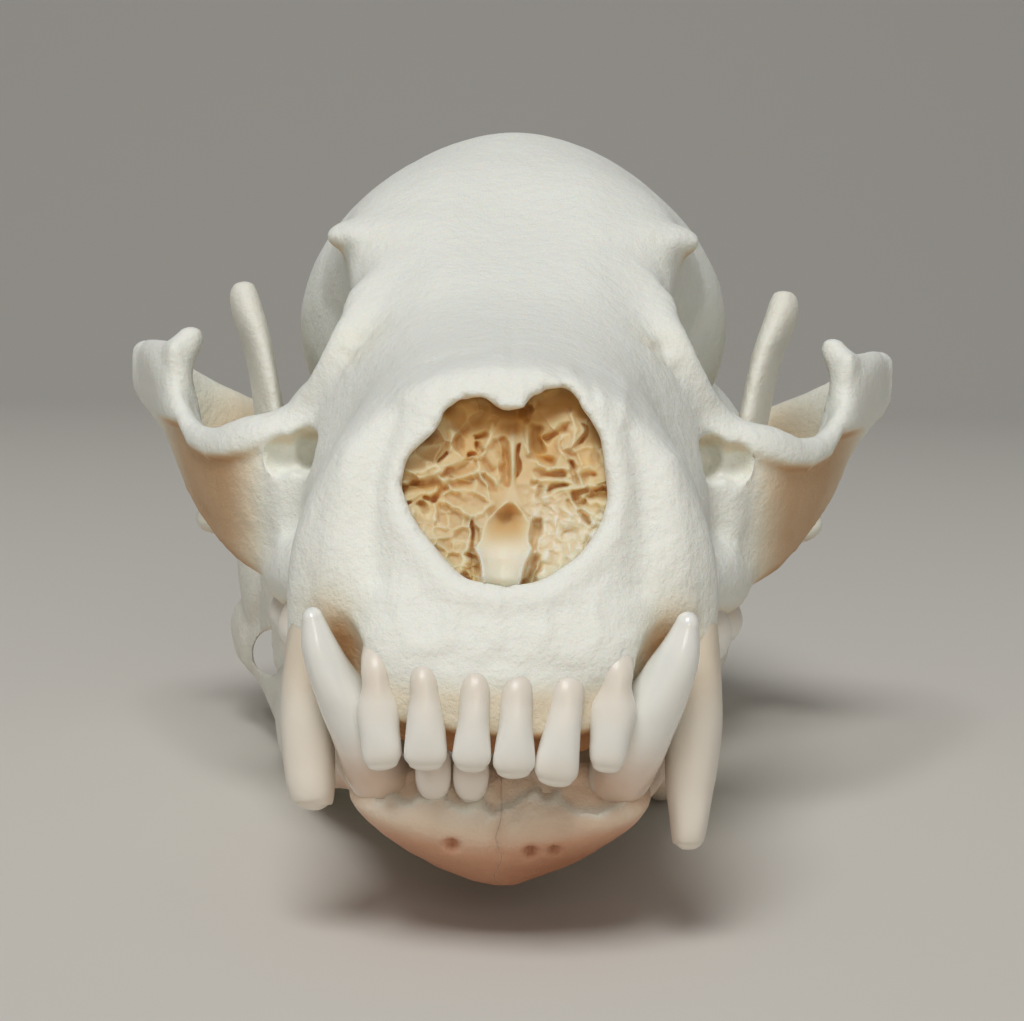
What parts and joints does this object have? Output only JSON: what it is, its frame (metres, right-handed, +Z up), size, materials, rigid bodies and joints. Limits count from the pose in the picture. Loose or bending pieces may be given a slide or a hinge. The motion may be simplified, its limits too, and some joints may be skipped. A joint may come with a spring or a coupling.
{
  "type": "raccoon skull",
  "caption": "Clean dry raccoon skull with its lower jaw closed, long eye teeth and scrolled bone in the nose.",
  "frame": {"origin": "on the floor under the middle of the skull's box, where the lower jaw rests", "axes": "+Z up, -Y the way the muzzle points, +X to the animal's left, which is right in the picture"},
  "size_m": [0.0754, 0.1167, 0.0616],
  "materials": {
    "braincase": "matt dry bone",
    "muzzle": "matt dry bone with glossy teeth",
    "cheek_arch_left": "matt dry bone",
    "cheek_arch_right": "matt dry bone",
    "ear_capsule_left": "matt dry bone",
    "ear_capsule_right": "matt dry bone",
    "jaw_left": "matt dry bone with glossy teeth",
    "jaw_right": "matt dry bone with glossy teeth",
    "nose_scrolls": "matt dry bone, thin and tan"
  },
  "bodies": {
    "root": {"braincase": "braincase", "muzzle": "muzzle", "cheek_arch_left": "cheek_arch_left", "cheek_arch_right": "cheek_arch_right", "ear_capsule_left": "ear_capsule_left", "ear_capsule_right": "ear_capsule_right", "jaw_left": "jaw_left", "jaw_right": "jaw_right", "nose_scrolls": "nose_scrolls"}
  },
  "joints": []
}
